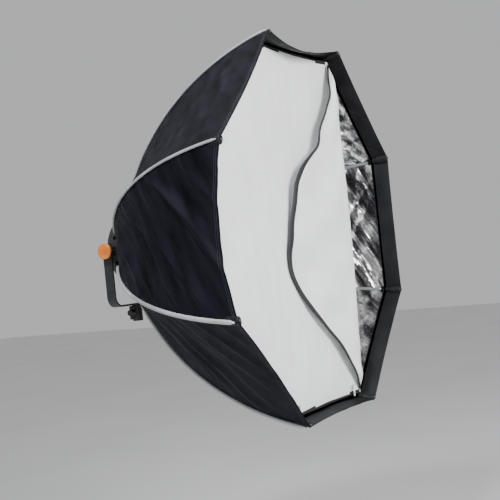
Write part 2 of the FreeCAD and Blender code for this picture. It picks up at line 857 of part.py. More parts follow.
RING_TURN = turned(rod_angle(2))
for master, label in ((ring, "body"), (plate, "front_plate"), (cover, "rear_cover")):
    master.Placement = RING_TURN
    keep(master, f"speedring_{label}")
keep(bayonet, "bayonet_insert")
keep(hinge_pins, "hinge_pins")
keep(cover_screws, "cover_screws")
keep(plate_screws, "plate_screws")
keep(trunnions, "tilt_trunnions")
keep(washers, "tilt_washers")
keep(yoke, "yoke")
keep(socket, "stand_socket")
keep(clamp, "stand_clamp")
keep(knob, "tilt_knob")
keep(knob_cap, "tilt_knob_cap")
keep(flap, "diffuser_flap")

for k in range(1, SIDES + 1):
    place = turned(rod_angle(k))
    keep(linked(f"rod_link_{k}", rod, place), f"rod_{k}")
    keep(linked(f"knuckle_link_{k}", knuckle, place), f"rod_knuckle_{k}")
    keep(linked(f"latch_link_{k}", latch, place), f"latch_button_{k}")
    keep(linked(f"panel_link_{k}", panel, place), f"shell_panel_{k}")
    piece = linked(f"sector_link_{k}", sector, place)
    if k in OPEN_SECTORS:
        piece = cut(f"trimmed_sector_{k}", piece, unzipped_side)
    keep(piece, f"diffuser_sector_{k}")

for letter, middle in (("a", "-dims.slider_left"), ("b", "dims.slider_right")):
    keep(slider(f"slider_{letter}", middle), f"zip_slider_{letter}")
    keep(pull(f"pull_{letter}", middle), f"zip_pull_{letter}")

# ---------------------------------------------------------------- checks and export

doc.recompute()
failed = [o.Name for o in doc.Objects if {"Invalid", "Error"} & set(o.State)]
if failed:
    raise ValueError(f"failed objects: {failed}")
for node in nodes:
    if node.Shape.isNull() or not node.Shape.isValid():
        raise ValueError(f"{node.Label} has a bad shape")

os.makedirs(OUT, exist_ok=True)
for node in nodes:
    node.Shape.exportStep(os.path.join(OUT, f"{node.Label}.step"))
print(len(nodes), "sub-parts")
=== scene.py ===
"""Looks of the octagonal studio softbox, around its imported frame. Metres, same frame as the part."""

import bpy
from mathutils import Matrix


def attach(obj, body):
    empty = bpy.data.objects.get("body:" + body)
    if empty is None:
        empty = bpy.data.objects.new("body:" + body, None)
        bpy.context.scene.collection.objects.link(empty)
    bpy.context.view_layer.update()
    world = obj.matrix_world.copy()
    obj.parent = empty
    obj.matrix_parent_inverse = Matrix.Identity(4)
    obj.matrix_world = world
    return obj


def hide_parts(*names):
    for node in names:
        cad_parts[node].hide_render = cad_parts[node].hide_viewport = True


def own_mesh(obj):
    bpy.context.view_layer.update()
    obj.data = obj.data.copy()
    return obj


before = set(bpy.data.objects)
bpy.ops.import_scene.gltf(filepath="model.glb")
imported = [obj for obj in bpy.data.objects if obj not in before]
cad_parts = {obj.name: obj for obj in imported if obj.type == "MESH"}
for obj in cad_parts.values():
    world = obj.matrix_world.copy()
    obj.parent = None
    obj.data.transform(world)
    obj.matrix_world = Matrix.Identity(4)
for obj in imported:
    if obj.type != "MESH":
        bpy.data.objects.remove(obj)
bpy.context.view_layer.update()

import math

import bpy
import numpy as np
from mathutils import Matrix, Vector

SIDES = 8
FIRST_TURN = math.radians(67.5)
STEP = math.radians(45)
HALF_STEP = STEP / 2

CORNER = 0.533
RIM = 0.642
BULGE = 0.085
HINGE_RADIUS = 0.080
HINGE_FRONT = 0.012
CLOTH_START = 0.109
DIFFUSER_FRONT = 0.598
DIFFUSER_RADIUS = 0.515
DIFFUSER_EDGE = DIFFUSER_RADIUS * math.cos(HALF_STEP)
FOLD_LINE = 0.196
RING_OUTER = 0.098
OUTER_LIFT = 0.0068
INNER_LIFT = 0.0052
SQUASH_SHELL = 0.3
SHEET_THICK = 0.0005
FORWARD = np.array((0.0, -1.0, 0.0))

SIDE = CORNER - HINGE_RADIUS
AHEAD = RIM - HINGE_FRONT
CHORD = math.hypot(SIDE, AHEAD)
BOW = CHORD**2 / 8 / BULGE + BULGE / 2
TIP_TURN = math.atan2(SIDE, AHEAD) - math.asin(CHORD / 2 / BOW)
CENTRE_SIDE = CORNER - BOW * math.cos(TIP_TURN)
CENTRE_AHEAD = -RIM - BOW * math.sin(TIP_TURN)


def rod_turn(k):
    """Angle of rod k about the light axis, from +X towards +Z."""
    return FIRST_TURN - STEP * (k - 1)


def smooth(low, high, x):
    s = np.clip((x - low) / (high - low), 0, 1)
    return s * s * (3 - 2 * s)


def around(k, r, y, w=0.0):
    """A point at rod k: r from the light axis, y along it, w sideways."""
    a = rod_turn(k)
    return np.array((r * math.cos(a) - w * math.sin(a), y, r * math.sin(a) + w * math.cos(a)))


# ---------------------------------------------------------------- materials


def new_material(name, colour, rough, metallic=0.0, **sockets):
    """A Principled material and its tree; sockets are set directly on the shader."""
    made = bpy.data.materials.new(name)
    made.use_nodes = True
    tree = made.node_tree
    shader = tree.nodes["Principled BSDF"]
    shader.inputs["Base Color"].default_value = (*colour, 1)
    shader.inputs["Roughness"].default_value = rough
    shader.inputs["Metallic"].default_value = metallic
    for key, value in sockets.items():
        shader.inputs[key.replace("_", " ")].default_value = value
    return made, tree, shader


def node(tree, kind, settings=None, **links):
    """Adds a node; links maps a socket's name to a value or to another node's socket."""
    made = tree.nodes.new(kind)
    for key, value in (settings or {}).items():
        setattr(made, key, value)
    for key, value in links.items():
        socket = made.inputs[int(key[1:])] if key[0] == "i" and key[1:].isdigit() else made.inputs[key]
        if isinstance(value, bpy.types.NodeSocket):
            tree.links.new(value, socket)
        else:
            socket.default_value = value
    return made


def position(tree):
    return tree.nodes.new("ShaderNodeTexCoord").outputs["Object"]


def noise(tree, where, scale, detail=3.0, rough=0.5):
    made = node(tree, "ShaderNodeTexNoise", Vector=where, Scale=scale, Detail=detail, Roughness=rough)
    return made.outputs["Fac"]


def weave(tree, where, pitch):
    """Two crossed sets of fine threads."""
    sets = []
    for direction in ("X", "Z"):
        wave = node(
            tree,
            "ShaderNodeTexWave",
            {"wave_type": "BANDS", "bands_direction": direction},
            Vector=where,
            Scale=0.31 / pitch,
            Distortion=0.4,
        )
        sets.append(wave.outputs["Fac"])
    both = node(tree, "ShaderNodeMath", {"operation": "MAXIMUM"}, i0=sets[0], i1=sets[1])
    return both.outputs[0]


def add_bump(tree, shader, *layers):
    """Bump layers of (height, distance, strength), the coarsest first."""
    normal = None
    for height, distance, strength in layers:
        bump = node(tree, "ShaderNodeBump", Height=height, Distance=distance, Strength=strength)
        if normal:
            tree.links.new(normal, bump.inputs["Normal"])
        normal = bump.outputs["Normal"]
    tree.links.new(normal, shader.inputs["Normal"])


def vary(tree, socket, fac, low, high, span=0.4):
    """Runs a colour or a number between two values by a height."""
    ramp = node(tree, "ShaderNodeValToRGB", Fac=fac)
    ramp.color_ramp.elements[0].position = 0.5 - span / 2
    ramp.color_ramp.elements[1].position = 0.5 + span / 2
    for element, value in zip(ramp.color_ramp.elements, (low, high)):
        element.color = (*value, 1) if hasattr(value, "__len__") else (value, value, value, 1)
    tree.links.new(ramp.outputs["Color"], socket)


# Turns the streaks' own upright to the way the cloth's creases run, down and towards the rim; in the shell's
# colour they are painted shade and highlight on the creases.
STREAK_TURN = (math.radians(30), 0, 0)


def streaks(tree, where, along, across):
    """Long soft streaks that run down along the cloth, as stretched noise; in a base colour they stand for
    painted shade and highlight along the creases.
    """
    run = node(tree, "ShaderNodeMapping", Vector=where, Rotation=STREAK_TURN)
    stretched = node(tree, "ShaderNodeMapping", Vector=run.outputs[0], Scale=(across, across, along))
    made = node(
        tree, "ShaderNodeTexNoise", Vector=stretched.outputs[0], Scale=1.0, Detail=3.0, Distortion=0.15
    )
    return made.outputs["Fac"]


def cloth_material(name, dark, light, rough, pitch, crease=0.0, streak=None, **sockets):
    made, tree, shader = new_material(name, light, rough, **sockets)
    where = position(tree)
    # With a streak given, the base colour is painted shade and highlight along the creases; without it, a
    # random tone.
    tone_and_painted_shade = streaks(tree, where, *streak) if streak else noise(tree, where, 9, 4)
    vary(tree, shader.inputs["Base Color"], tone_and_painted_shade, dark, light)
    vary(tree, shader.inputs["Roughness"], noise(tree, where, 22, 2), rough - 0.06, rough + 0.06)
    layers = [(weave(tree, where, pitch), 0.0002, 0.35)]
    if crease:
        layers.insert(0, (noise(tree, where, 26, 5, 0.55), crease, 0.5))
    add_bump(tree, shader, *layers)
    return made


def metal_material(name, dark, light, rough, metallic, grain, depth, **sockets):
    made, tree, shader = new_material(name, light, rough, metallic, **sockets)
    where = position(tree)
    vary(tree, shader.inputs["Base Color"], noise(tree, where, 40, 5), dark, light)
    vary(tree, shader.inputs["Roughness"], noise(tree, where, 75, 3), rough - 0.05, rough + 0.08)
    add_bump(tree, shader, (noise(tree, where, grain, 2), depth, 0.4))
    return made


def silver_material():
    """Crinkled silver lining: dimples, short creases and long soft waves; its base colour runs dark to bright
    along the long creases as painted shade and painted reflection.
    """
    made, tree, shader = new_material("silver_lining", (0.85, 0.86, 0.88), 0.3, 0.9)
    where = position(tree)
    creases_and_painted_shade = streaks(tree, where, 3, 30)
    # Painted shade and painted reflection: the base colour runs from dark to bright along the crease streaks.
    vary(tree, shader.inputs["Base Color"], creases_and_painted_shade, (0.13, 0.13, 0.14), (0.97, 0.975, 0.98), span=0.16)
    vary(tree, shader.inputs["Roughness"], noise(tree, where, 60, 3), 0.20, 0.36)
    cells = node(
        tree, "ShaderNodeTexVoronoi", {"feature": "SMOOTH_F1"}, Vector=where, Scale=70.0, Smoothness=0.6
    )
    add_bump(
        tree,
        shader,
        (creases_and_painted_shade, 0.012, 0.8),
        (noise(tree, where, 40, 4, 0.6), 0.001, 0.3),
        (cells.outputs["Distance"], 0.0012, 0.2),
    )
    return made


# The shell's base colour runs dark to light along crease streaks: painted shade and highlight on its folds.
SHELL = cloth_material(
    "shell_nylon", (0.0022, 0.0022, 0.0036), (0.0110, 0.0110, 0.0180), 0.62, 0.0008, 0.0014, (3, 26),
    Specular_IOR_Level=0.06, Sheen_Weight=0.015, Sheen_Roughness=0.35,
)
LIP = cloth_material(
    "lip_cloth", (0.004, 0.004, 0.005), (0.014, 0.014, 0.015), 0.62, 0.0008, 0.0010, Specular_IOR_Level=0.2
)
SILVER = silver_material()
WHITE = cloth_material(
    "diffuser_nylon", (0.80, 0.80, 0.80), (0.88, 0.88, 0.885), 0.72, 0.0006, 0.0012,
    Sheen_Weight=0.1, Subsurface_Weight=0.05,
)
TAPE = cloth_material("zip_tape", (0.008, 0.008, 0.009), (0.02, 0.02, 0.022), 0.7, 0.0007)
PIPING = cloth_material("piping_braid", (0.30, 0.31, 0.32), (0.46, 0.47, 0.48), 0.55, 0.0011)
SLEEVE = cloth_material(
    "sleeve_cloth", (0.30, 0.31, 0.32), (0.45, 0.46, 0.47), 0.42, 0.0008, 0.0012, Metallic=0.5
)
STITCH = cloth_material("thread", (0.03, 0.03, 0.033), (0.07, 0.07, 0.075), 0.5, 0.0005)
TEETH = metal_material("zip_teeth", (0.015, 0.015, 0.016), (0.04, 0.04, 0.042), 0.35, 0.0, 900, 0.0001)
POWDER = metal_material("powder_coat", (0.010, 0.010, 0.011), (0.020, 0.020, 0.022), 0.48, 0.0, 900, 0.0003)
ROD = metal_material("rod_coating", (0.012, 0.012, 0.013), (0.035, 0.035, 0.037), 0.35, 0.3, 300, 0.0001)
MOULDED = metal_material(
    "moulded_nylon", (0.012, 0.012, 0.013), (0.024, 0.023, 0.023), 0.58, 0.0, 600, 0.0003
)
GRIP = metal_material("ribbed_grip", (0.030, 0.014, 0.008), (0.060, 0.028, 0.014), 0.5, 0.0, 600, 0.0003)
ALLOY = metal_material("turned_alloy", (0.50, 0.51, 0.52), (0.70, 0.70, 0.71), 0.28, 1.0, 220, 0.0001)
ZINC = metal_material("zinc_plate", (0.42, 0.42, 0.42), (0.62, 0.62, 0.63), 0.32, 1.0, 400, 0.0001)
NICKEL = metal_material("nickel_plate", (0.70, 0.70, 0.71), (0.85, 0.85, 0.86), 0.18, 1.0, 500, 0.0001)
RED = metal_material("red_button", (0.30, 0.015, 0.012), (0.45, 0.03, 0.02), 0.35, 0.0, 500, 0.0002)
ORANGE = metal_material(
    "orange_cap", (0.62, 0.13, 0.015), (0.85, 0.26, 0.03), 0.38, 0.0, 500, 0.0002, Coat_Weight=0.2
)
PULL = metal_material("white_pull", (0.72, 0.72, 0.70), (0.84, 0.84, 0.83), 0.45, 0.0, 500, 0.0002)


# ---------------------------------------------------------------- meshes


def make_piece(name, verts, faces, mats, indices=None, normals=None):
    mesh = bpy.data.meshes.new(name)
    mesh.from_pydata([tuple(map(float, v)) for v in verts], [], [tuple(map(int, f)) for f in faces])
    for mat in mats:
        mesh.materials.append(mat)
    mesh.polygons.foreach_set("use_smooth", [True] * len(mesh.polygons))
    if indices is not None:
        mesh.polygons.foreach_set("material_index", [int(i) for i in indices])
    mesh.update()
    if normals is not None:
        mesh.normals_split_custom_set_from_vertices([tuple(map(float, n)) for n in normals])
    made = bpy.data.objects.new(name, mesh)
    bpy.context.scene.collection.objects.link(made)
    return made


def grid_normals(points):
    """Unit normals of a grid of points by central differences."""
    along = np.gradient(points, axis=0)
    across = np.gradient(points, axis=1)
    normals = np.cross(along, across)
    return normals / np.maximum(np.linalg.norm(normals, axis=2, keepdims=True), 1e-12)


def grid_faces(rows, columns, first=0, flip=False):
    faces = []
    for i in range(rows - 1):
        for j in range(columns - 1):
            a = first + i * columns + j
            quad = (a, a + 1, a + columns + 1, a + columns)
            faces.append(quad[::-1] if flip else quad)
    return faces


def rim_faces(rows, columns, gap):
    """Faces that close the edge between a grid and its copy gap vertices later."""
    loop = list(range(columns))
    loop += [i * columns + columns - 1 for i in range(1, rows)]
    loop += [(rows - 1) * columns + j for j in range(columns - 2, -1, -1)]
    loop += [i * columns for i in range(rows - 2, 0, -1)]
    return [(b, a, a + gap, b + gap) for a, b in zip(loop, loop[1:] + loop[:1])]


def cloth_piece(name, front, normals, thickness, mats, front_index, back_index, back=None, back_normals=None):
    """A closed thin cloth: a front grid, and a back grid that is its copy unless one is given.

    front_index and back_index give each face's material by its row and column.
    """
    rows, columns, _ = front.shape
    if back is None:
        back, back_normals = front - normals * thickness, -normals
    verts = np.concatenate([front.reshape(-1, 3), back.reshape(-1, 3)])
    count = rows * columns
    faces = grid_faces(rows, columns) + grid_faces(rows, columns, count, flip=True)
    cells = [(i, j) for i in range(rows - 1) for j in range(columns - 1)]
    indices = [front_index(i, j) for i, j in cells] + [back_index(i, j) for i, j in cells]
    edge = rim_faces(rows, columns, count)
    faces += edge
    indices += [front_index(0, 0)] * len(edge)
    shading = np.concatenate([normals.reshape(-1, 3), back_normals.reshape(-1, 3)])
    return make_piece(name, verts, faces, mats, indices, shading)


def tube_piece(name, path, radius, mat, ring=10, side=None, flat=1.0):
    """A closed tube along points; radius may differ along it, and flat squeezes it along side."""
    path = np.asarray(path, float)
    count = len(path)
    radii = np.full(count, radius) if np.isscalar(radius) else np.asarray(radius)
    tangents = np.gradient(path, axis=0)
    tangents /= np.linalg.norm(tangents, axis=1, keepdims=True)
    side = np.array((0.0, 0.0, 1.0)) if side is None else np.asarray(side, float)
    verts, faces = [], []
    for i in range(count):
        first = side - tangents[i] * np.dot(side, tangents[i])
        first /= np.linalg.norm(first)
        second = np.cross(tangents[i], first)
        for j in range(ring):
            a = 2 * math.pi * j / ring
            verts.append(path[i] + radii[i] * (first * math.cos(a) * flat + second * math.sin(a)))
    for i in range(count - 1):
        for j in range(ring):
            a, b = i * ring + j, i * ring + (j + 1) % ring
            faces.append((a, b, b + ring, a + ring))
    faces.append(tuple(range(ring))[::-1])
    faces.append(tuple((count - 1) * ring + j for j in range(ring)))
    return make_piece(name, verts, faces, [mat])


def join_blocks(name, blocks, mat):
    """One piece of many small boxes, each a centre, three half axes as rows."""
    verts, faces = [], []
    corners = [(a, b, c) for a in (-1, 1) for b in (-1, 1) for c in (-1, 1)]
    quads = ((0, 1, 3, 2), (4, 6, 7, 5), (0, 4, 5, 1), (2, 3, 7, 6), (0, 2, 6, 4), (1, 5, 7, 3))
    for centre, axes in blocks:
        start = len(verts)
        verts += [centre + a * axes[0] + b * axes[1] + c * axes[2] for a, b, c in corners]
        faces += [tuple(start + q for q in quad) for quad in quads]
    made = make_piece(name, verts, faces, [mat])
    made.data.polygons.foreach_set("use_smooth", [False] * len(made.data.polygons))
    return made


# ---------------------------------------------------------------- shell


def bow_point(turn, lift):
    """Distance from the light axis and place along it, on the bow raised by lift."""
    return CENTRE_SIDE + (BOW + lift) * np.cos(turn), CENTRE_AHEAD + (BOW + lift) * np.sin(turn)


def shell_turns(v, lift):
    start = math.acos((CLOTH_START - CENTRE_SIDE) / (BOW + lift))
    end = math.asin((-RIM - CENTRE_AHEAD) / (BOW + lift))
    return start + (end - start) * v


# The shell's cloth. A v runs along a gore from 0 at the hub to 1 at the rim; heights are metres.
GORE_LENGTH = 0.62
SAG = 0.010
HEM_SAG = 0.008
TOP_HEM_SAG = 0.024
CREASE_STEP = 0.078
LEFT_GORE = 6


def gore_creases():
    """Creases that cross each gore from seam to seam: start and drift along it, width, height."""
    dice = np.random.default_rng(7)
    table = {}
    for gore in range(1, SIDES + 1):
        lean = {LEFT_GORE: 0.42, 5: 0.30, 7: 0.12}.get(gore, 0.30 * (-1) ** gore)
        tall = 1.7 if gore == LEFT_GORE else 0.9
        first = -max(lean, 0)
        creases = []
        for i in range(int((1 + abs(lean)) / CREASE_STEP)):
            start = first + CREASE_STEP * i + dice.uniform(-0.022, 0.022)
            drift = lean * dice.uniform(0.8, 1.2)
            creases.append((start, drift, dice.uniform(0.009, 0.016), tall * dice.uniform(0.003, 0.0075)))
        table[gore] = creases
    return table


CREASES = gore_creases()
TOP_GORE = SIDES
CREASE_SINK = 0.0022
HEM_CUT = {LEFT_GORE: 0.045}  # how far back the hem curves between the rods, as a share of the gore


def gore_lift(gore, c, v):
    """How far the cloth stands off its straight gore: tension sag, and the creases across it."""
    sag = SAG * np.sin(math.pi * np.clip(v, 0, 1)) ** 0.8 + HEM_SAG * smooth(0.88, 1.0, v)
    lift = -sag * (1 - c * c)
    if gore == TOP_GORE:
        lift = lift - TOP_HEM_SAG * smooth(0.925, 1.0, v) * (1 - c * c) * (1 - 0.75 * c)
    inside = (1 - c**4) * smooth(0.03, 0.22, v) * (1 - 0.75 * smooth(0.82, 0.97, v))
    for start, drift, width, height in CREASES[gore]:
        middle = start + drift * (1 - c) / 2 + 0.012 * np.sin(5 * c + 40 * start)
        gap = (v - middle) * GORE_LENGTH / width
        ridge = np.exp(-((gap / np.where(gap > 0, 1.7, 0.8)) ** 2))
        lift = lift + inside * height * ridge
    return lift - inside * CREASE_SINK


def hem_share(k, t):
    """How much of its length a gore keeps, by place across the panel at rod k."""
    cut = np.where(t >= 0, HEM_CUT.get((k - 2) % SIDES + 1, 0), HEM_CUT.get(k, 0))
    return 1 - cut * (1 - (1 - np.abs(t)) ** 2)


def shell_grid(k, t, v, lift):
    """Points of the panel at rod k: t runs across it from -1 to 1 and v from hub to rim."""
    v = v * hem_share(k, t)
    turn = shell_turns(v, lift)
    r, y = bow_point(turn, lift)
    side = np.where(t >= 0, 1.0, -1.0)
    q = 1 - np.abs(t)
    middle = rod_turn(k) + side * HALF_STEP
    across = -side * r * math.sin(HALF_STEP) * q
    radial = r * math.cos(HALF_STEP)
    slope = np.stack([np.cos(turn), math.cos(HALF_STEP) * np.sin(turn)])
    slope /= np.linalg.norm(slope, axis=0)
    before = (k - 2) % SIDES + 1
    rise = np.where(t >= 0, gore_lift(before, q, v), gore_lift(k, -q, v))
    radial = radial + rise * slope[0]
    return np.stack(
        [
            radial * np.cos(middle) - across * np.sin(middle),
            y + rise * slope[1],
            radial * np.sin(middle) + across * np.cos(middle),
        ],
        axis=-1,
    )


def shell_normals(k, t, v, lift):
    """Outward normals, worked out so that neighbouring panels agree where they meet."""
    step_t, step_v = 1e-3, 1e-3
    inner_t = np.sign(np.where(t == 0, 1.0, t)) * np.clip(np.abs(t), 3 * step_t, 1 - 1.5 * step_t)
    across = shell_grid(k, inner_t + step_t, v, lift) - shell_grid(k, inner_t - step_t, v, lift)
    low, high = np.clip(v - step_v, 0, 1), np.clip(v + step_v, 0, 1)
    along = shell_grid(k, inner_t, high, lift) - shell_grid(k, inner_t, low, lift)
    normals = np.cross(along, across)
    a = rod_turn(k)
    outward = np.array((math.cos(a), 0.6, math.sin(a)))
    flip = np.sign((normals * outward).sum(axis=-1, keepdims=True))
    normals *= flip
    return normals / np.linalg.norm(normals, axis=-1, keepdims=True)


ROWS, COLUMNS = 130, 81
# Stretches of the shell: where each starts and ends, and how much of its width a fold leaves it.
STRETCHES = {
    "shell_hub_cloth": (0.0, 0.20, 0.80),
    "shell_back_cloth": (0.20, 0.45, 0.56),
    "shell_cloth": (0.45, 1.0, SQUASH_SHELL),
}
LIP_START = DIFFUSER_FRONT - 0.004

# The lining's crinkles: the way its creases run, and two waves that bend them, in radians per metre.
CREASE_RUN = np.array((0.2, -0.48, -0.85))
LONG_BEND = np.array((17.0, 9.0, -13.0))
SHORT_BEND = np.array((-31.0, 22.0, 27.0))
LINING_GAP = 0.0012
CRINKLE_LENGTHS = (0.115, 0.092, 0.074, 0.060, 0.049, 0.040, 0.034)


def crinkle_waves():
    """Directions, lengths and heights of the lining's crossing creases."""
    dice = np.random.default_rng(21)
    waves = []
    for length in CRINKLE_LENGTHS:
        direction = dice.normal(size=3)
        direction -= 0.96 * CREASE_RUN * np.dot(CREASE_RUN, direction)
        direction /= np.linalg.norm(direction)
        waves.append((direction * 2 * math.pi / length, dice.uniform(0, 6.28), 0.045 * length))
    return waves


CRINKLES = crinkle_waves()


def crinkle_height(points):
    """How far the lining puckers inwards at points in space."""
    total = np.zeros(points.shape[:-1])
    bend = 0.5 * np.sin(points @ LONG_BEND) + 0.3 * np.sin(points @ SHORT_BEND)
    for wave, phase, height in CRINKLES:
        total += height * (1 - np.abs(np.sin(points @ wave / 2 + phase + bend))) ** 2.5
    return total


def crinkled_lining(outer, normals, v):
    """The lining's points and normals, crinkled except near the hub and in the lip."""
    amount = smooth(0.05, 0.2, v) * (1 - smooth(0.89, 0.93, v))
    height = crinkle_height(outer) * amount
    step = 0.002
    slope = np.stack([crinkle_height(outer + step * axis) for axis in np.eye(3)], axis=-1)
    slope = (slope - crinkle_height(outer)[..., None]) / step * amount[..., None]
    slope -= normals * (slope * normals).sum(axis=-1, keepdims=True)
    lining = -(normals + slope)
    lining /= np.linalg.norm(lining, axis=-1, keepdims=True)
    return outer - normals * (LINING_GAP + height)[..., None], lining


def shell_piece(k, name, v_from, v_to):
    """One stretch of the cloth at rod k, from hub to rim."""
    rows = round(ROWS * (v_to - v_from)) + 1
    v, t = np.meshgrid(np.linspace(v_from, v_to, rows), np.linspace(-1, 1, COLUMNS), indexing="ij")
    outer = shell_grid(k, t, v, OUTER_LIFT)
    normals = shell_normals(k, t, v, OUTER_LIFT)
    if faces_oppose(outer, normals):
        outer, normals = outer[:, ::-1], normals[:, ::-1]
    inner, lining = crinkled_lining(outer, normals, v)

    def inside(i, j):
        return 2 if -outer[i, j, 1] > LIP_START else 1

    made = cloth_piece(
        f"{name}_{k}", outer, normals, 0, [SHELL, SILVER, LIP], lambda i, j: 0, inside, inner, lining
    )
    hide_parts(f"shell_panel_{k}")
    return made


def faces_oppose(points, normals):
    """True if a grid's faces point against its normals, judged by its first face."""
    face = np.cross(points[0, 1] - points[0, 0], points[1, 1] - points[0, 0])
    return float(np.dot(face, normals[0, 0])) < 0


def ride_fold(piece, k):
    """A cloth piece rides on rod k's body."""
    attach(piece, f"rod_{k}")
    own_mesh(piece)


# ---------------------------------------------------------------- trim on the shell


def bow_path(k, v_from, v_to, lift, count=60, w=0.0):
    """Points along rod k's corner of the shell."""
    v = np.linspace(v_from, v_to, count)
    r, y = bow_point(shell_turns(v, lift), lift)
    return [around(k, a, b, w) for a, b in zip(r, y)]


WIDE_PIPING_RODS = (5, 6)
WIDE_PIPING, PIPING_RADIUS = 0.0050, 0.0031
SLEEVE_RADIUS = 0.0044
HEM_ROWS = (0.9905, 0.9835)
HEM_STITCHES = 96


def piping_piece(k):
    """Braided cord sewn over the rod's seam; it stops just short of the rim."""
    count = 120
    wide = WIDE_PIPING if k in WIDE_PIPING_RODS else PIPING_RADIUS
    ends = smooth(0, 0.02, np.linspace(0, 1, count)) * smooth(0, 0.02, np.linspace(1, 0, count))
    radii = wide * (0.35 + 0.65 * ends)
    path = bow_path(k, 0.02, 0.986, OUTER_LIFT + 0.0024, count)
    made = tube_piece(f"piping_{k}", path, radii, PIPING, ring=16, side=around(k, 0, 0, 1.0), flat=1.15)
    return made


def sleeve_piece(k):
    """The flat sleeve inside the shell that the rod runs in."""
    path = bow_path(k, 0.10, 0.925, -0.0008, 70)
    count = len(path)
    radii = np.full(count, SLEEVE_RADIUS) * (1 + 0.06 * np.sin(np.linspace(0, 70, count)))
    made = tube_piece(f"rod_sleeve_{k}", path, radii, SLEEVE, side=around(k, 0, 0, 1.0), flat=1.3)
    return made


def tip_pocket_piece(k):
    """The webbing cap that holds the rod's tip at the rim, folded over the edge."""
    path = bow_path(k, 0.921, 0.9985, 0.0, 20)
    radii = 0.0054 + 0.0016 * smooth(0.35, 0.5, np.linspace(0, 1, 20))
    made = tube_piece(f"tip_pocket_{k}", path, radii, LIP, ring=14, side=around(k, 0, 0, 1.0), flat=1.7)
    return made


def hem_piece(k):
    """Two rows of stitches along the front hem."""
    blocks = []
    lift = OUTER_LIFT + 0.0003
    for row in HEM_ROWS:
        for t in np.linspace(-0.985, 0.985, HEM_STITCHES):
            if abs(t) < 0.04:
                continue
            here = shell_grid(k, np.array([t]), np.array([row]), lift)[0]
            ahead = shell_grid(k, np.array([t + 0.004]), np.array([row]), lift)[0]
            normal = shell_normals(k, np.array([t]), np.array([row]), lift)[0]
            along = (ahead - here) / np.linalg.norm(ahead - here)
            over = np.cross(normal, along)
            blocks.append((here, (along * 0.0013, over * 0.00035, normal * 0.0003)))
    made = join_blocks(f"hem_stitches_{k}", blocks, STITCH)
    return made


def lip_band_piece(k):
    """The black band that closes the recess from the shell in to the diffuser's zip."""
    reach = 9
    t = np.linspace(-1, 1, COLUMNS)
    v_sheet = np.interp(
        DIFFUSER_FRONT, -bow_point(shell_turns(np.linspace(0.8, 1, 400), INNER_LIFT), INNER_LIFT)[1],
        np.linspace(0.8, 1, 400),
    )
    outer = shell_grid(k, t, v_sheet / hem_share(k, t), INNER_LIFT - 0.0004)
    a = rod_turn(k)
    side = np.where(t >= 0, 1.0, -1.0)
    q = 1 - np.abs(t)
    middle = a + side * HALF_STEP
    edge = DIFFUSER_EDGE - 0.004
    across = -side * edge * math.tan(HALF_STEP) * q
    inner = np.stack(
        [
            edge * np.cos(middle) - across * np.sin(middle),
            np.full_like(t, -DIFFUSER_FRONT + 0.0022),
            edge * np.sin(middle) + across * np.cos(middle),
        ],
        axis=-1,
    )
    share = np.linspace(0, 1, reach)[:, None, None]
    grid = outer[None] * (1 - share) + inner[None] * share
    grid[..., 1] -= 0.0012 * np.sin(math.pi * share[..., 0])
    normals = grid_normals(grid)
    if normals[4, COLUMNS // 3, 1] > 0:
        grid, normals = grid[:, ::-1], -normals[:, ::-1]
    made = cloth_piece(f"lip_band_{k}", grid, normals, 0.0010, [TAPE], lambda i, j: 0, lambda i, j: 0)
    return made


def teeth_along(points, normal, pitch=0.0042, size=(0.0012, 0.0010, 0.0007)):
    """Zip teeth along a line of points."""
    points = np.asarray(points)
    steps = np.linalg.norm(np.diff(points, axis=0), axis=1)
    reach = np.concatenate([[0], np.cumsum(steps)])
    places = np.arange(pitch, reach[-1] - pitch, pitch)
    blocks = []
    for place in places:
        here = np.array([np.interp(place, reach, points[:, i]) for i in range(3)])
        ahead = np.array([np.interp(place + 0.001, reach, points[:, i]) for i in range(3)])
        along = (ahead - here) / np.linalg.norm(ahead - here)
        over = np.cross(normal, along)
        over /= np.linalg.norm(over)
        up = np.cross(along, over)
        blocks.append((here, (along * size[0], over * size[1], up * size[2])))
    return blocks


# ---------------------------------------------------------------- diffuser


def corner_at(k):
    a = rod_turn(k)
    return np.array((DIFFUSER_RADIUS * math.cos(a), DIFFUSER_RADIUS * math.sin(a)))


def edge_middle(k):
    """Middle of the diffuser's edge between rod k and the rod before it."""
    a = rod_turn(k) + HALF_STEP
    return DIFFUSER_EDGE * np.array((math.cos(a), math.sin(a)))


def sector_corners(k):
    """The four corners of a sector from the centre round; the unzipped side ends at the fold line."""
    first, tip, last = edge_middle(k), corner_at(k), edge_middle(k % SIDES + 1)
    if k == 1:
        tip, last = np.array((FOLD_LINE, tip[1])), np.array((FOLD_LINE, FOLD_LINE))
    elif k == 2:
        first = np.array((FOLD_LINE, FOLD_LINE))
        tip, last = np.array((FOLD_LINE, FOLD_LINE / 2)), np.array((FOLD_LINE, 0.0))
    elif k == 3:
        first, last = np.array((FOLD_LINE, 0.0)), np.array((FOLD_LINE, -FOLD_LINE))
        tip = np.array((FOLD_LINE, -FOLD_LINE / 2))
    elif k == 4:
        first, tip = np.array((FOLD_LINE, -FOLD_LINE)), np.array((FOLD_LINE, tip[1]))
    return np.zeros(2), first, tip, last


